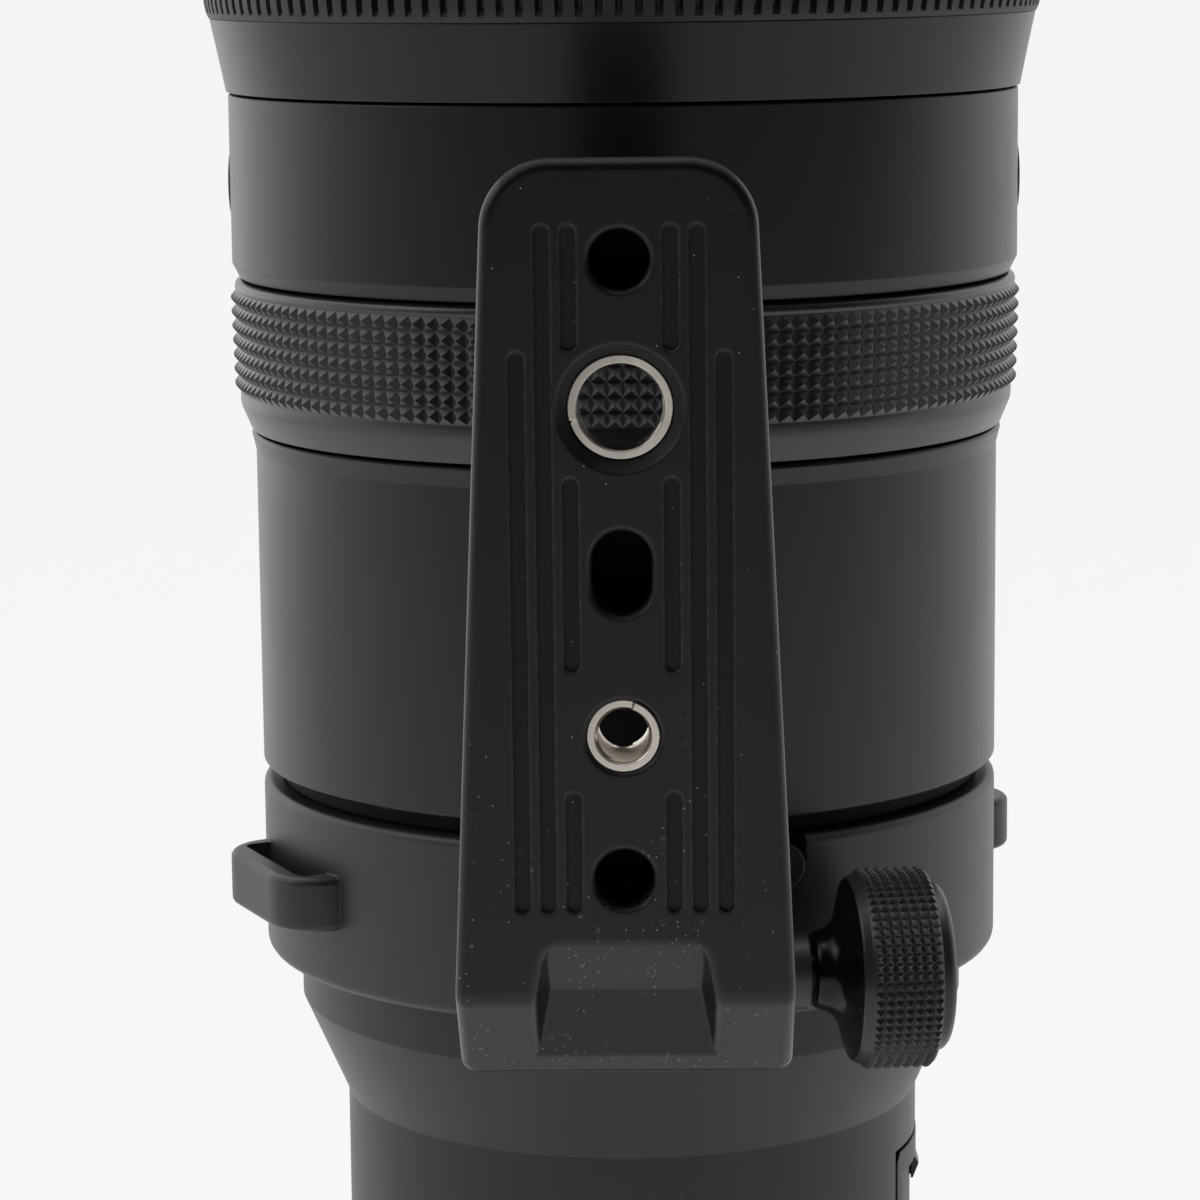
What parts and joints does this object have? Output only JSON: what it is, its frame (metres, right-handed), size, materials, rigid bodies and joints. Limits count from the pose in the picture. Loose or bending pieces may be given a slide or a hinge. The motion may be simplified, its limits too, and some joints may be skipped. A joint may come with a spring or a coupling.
{
  "type": "camera zoom lens",
  "caption": "Long internal-zoom camera lens with a rotating tripod collar, a slotted tripod foot, a clamp knob, a ribbed zoom ring and a knurled focus ring.",
  "frame": {"origin": "centre of the lens mount's seat face, on the optical axis", "axes": "+Z along the optical axis towards the front glass, -Y towards the tripod foot's face, +X towards the clamp knob"},
  "size_m": [0.1092, 0.1486, 0.3203],
  "materials": {
    "black_paint": "satin",
    "rubber": "matte",
    "mount_steel": "satin",
    "steel": "satin",
    "gold_pins": "polished",
    "inner_aluminium": "black anodised",
    "black_plastic": "matte",
    "board": "lacquered",
    "glass": "polished and coated"
  },
  "bodies": {
    "barrel": {"mount_flange": "mount_steel", "mount_screws": "steel", "mount_gasket": "rubber", "contact_block": "black_plastic", "contact_pins": "gold_pins", "rear_baffle": "black_plastic", "rear_barrel": "black_paint", "switch_panel": "black_plastic", "main_board": "board", "rear_group_cell": "inner_aluminium", "rear_element": "glass", "rear_field_element": "glass", "main_tube": "inner_aluminium", "middle_barrel": "black_paint", "front_sleeve": "black_paint", "guide_tube": "inner_aluminium", "inner_bulkhead": "inner_aluminium", "focus_base": "inner_aluminium", "focus_guide_rods": "steel", "focus_motor": "black_plastic", "iris_housing": "black_plastic", "iris_blades": "inner_aluminium", "stabiliser_base": "black_plastic", "front_barrel": "black_paint", "filter_ring": "black_paint", "front_cell": "inner_aluminium", "front_element": "glass", "front_spacer": "inner_aluminium", "second_element": "glass"},
    "zoom_control": {"zoom_ring": "black_paint", "zoom_grip": "rubber", "zoom_keys": "steel", "cam_tube": "inner_aluminium"},
    "variator": {"variator_cell": "inner_aluminium", "variator_element": "glass"},
    "compensator": {"compensator_cell": "inner_aluminium", "compensator_element": "glass"},
    "focus_control": {"focus_ring": "rubber"},
    "lead_screw": {"focus_lead_screw": "steel"},
    "focus_group": {"focus_cell": "black_plastic", "focus_element": "glass"},
    "iris_control": {"iris_drive_ring": "black_plastic"},
    "shift_frame": {"stabiliser_frame": "inner_aluminium"},
    "shift_cell": {"stabiliser_cell": "black_plastic", "stabiliser_element": "glass"},
    "collar": {"tripod_collar": "black_paint", "tripod_foot": "black_paint", "large_thread_insert": "steel", "small_thread_insert": "steel", "foot_screws": "steel", "collar_stop_pin": "black_paint"},
    "clamp": {"clamp_knob": "black_paint", "clamp_stud": "steel"},
    "switch_rear": {"switch_1": "black_plastic"},
    "switch_middle": {"switch_2": "black_plastic"},
    "switch_front": {"switch_3": "black_plastic"},
    "button_foot_side": {"focus_button_1": "black_plastic"},
    "button_right": {"focus_button_2": "black_plastic"},
    "button_top": {"focus_button_3": "black_plastic"},
    "button_left": {"focus_button_4": "black_plastic"}
  },
  "joints": [
    {"name": "zoom_turn", "type": "hinge", "parent": "barrel", "child": "zoom_control", "pos_m": [0, 0, 0.2368], "axis": [0, 0, 1], "range_deg": [0, 70]},
    {"name": "variator_slide", "type": "slide", "parent": "barrel", "child": "variator", "axis": [0, 0, 1], "range_m": [0, 0.026]},
    {"name": "compensator_slide", "type": "slide", "parent": "barrel", "child": "compensator", "axis": [0, 0, 1], "range_m": [-0.02, 0]},
    {"name": "focus_ring_turn", "type": "hinge", "parent": "barrel", "child": "focus_control", "pos_m": [0, 0, 0.1719], "axis": [0, 0, 1], "continuous": true},
    {"name": "lead_screw_turn", "type": "hinge", "parent": "barrel", "child": "lead_screw", "pos_m": [0.0185, 0.03204, 0.1436], "axis": [0, 0, 1], "range_deg": [0, 4320]},
    {"name": "focus_slide", "type": "slide", "parent": "barrel", "child": "focus_group", "axis": [0, 0, 1], "range_m": [0, 0.012]},
    {"name": "iris_ring_turn", "type": "hinge", "parent": "barrel", "child": "iris_control", "pos_m": [0, 0, 0.105], "axis": [0, 0, 1], "range_deg": [0, 50]},
    {"name": "shift_sideways", "type": "slide", "parent": "barrel", "child": "shift_frame", "axis": [1, 0, 0], "range_m": [-0.0012, 0.0012]},
    {"name": "shift_up_down", "type": "slide", "parent": "shift_frame", "child": "shift_cell", "axis": [0, 1, 0], "range_m": [-0.0012, 0.0012]},
    {"name": "collar_turn", "type": "hinge", "parent": "barrel", "child": "collar", "pos_m": [0, 0, 0.10425], "axis": [0, 0, 1], "continuous": true},
    {"name": "clamp_turn", "type": "hinge", "parent": "collar", "child": "clamp", "pos_m": [0.00784, -0.05878, 0.10245], "axis": [0.9912, 0.1323, 0], "range_deg": [0, 360]},
    {"name": "switch_rear_slide", "type": "slide", "parent": "barrel", "child": "switch_rear", "axis": [0, 0, -1], "range_m": [0, 0.003]},
    {"name": "switch_middle_slide", "type": "slide", "parent": "barrel", "child": "switch_middle", "axis": [0, 0, -1], "range_m": [0, 0.003]},
    {"name": "switch_front_slide", "type": "slide", "parent": "barrel", "child": "switch_front", "axis": [0, 0, -1], "range_m": [0, 0.003]},
    {"name": "button_foot_side_press", "type": "slide", "parent": "barrel", "child": "button_foot_side", "axis": [0, 1, 0], "range_m": [0, 0.0005], "stiffness_N_per_m": 600, "springref_m": -0.0005},
    {"name": "button_right_press", "type": "slide", "parent": "barrel", "child": "button_right", "axis": [-1, 0, 0], "range_m": [0, 0.0005], "stiffness_N_per_m": 600, "springref_m": -0.0005},
    {"name": "button_top_press", "type": "slide", "parent": "barrel", "child": "button_top", "axis": [0, -1, 0], "range_m": [0, 0.0005], "stiffness_N_per_m": 600, "springref_m": -0.0005},
    {"name": "button_left_press", "type": "slide", "parent": "barrel", "child": "button_left", "axis": [1, 0, 0], "range_m": [0, 0.0005], "stiffness_N_per_m": 600, "springref_m": -0.0005}
  ],
  "couplings": [
    {"joint": "variator_slide", "follows": "zoom_turn", "m_per_rad": 0.021281},
    {"joint": "compensator_slide", "follows": "zoom_turn", "m_per_rad": -0.01637},
    {"joint": "lead_screw_turn", "follows": "focus_slide", "rad_per_m": 6283.2}
  ]
}
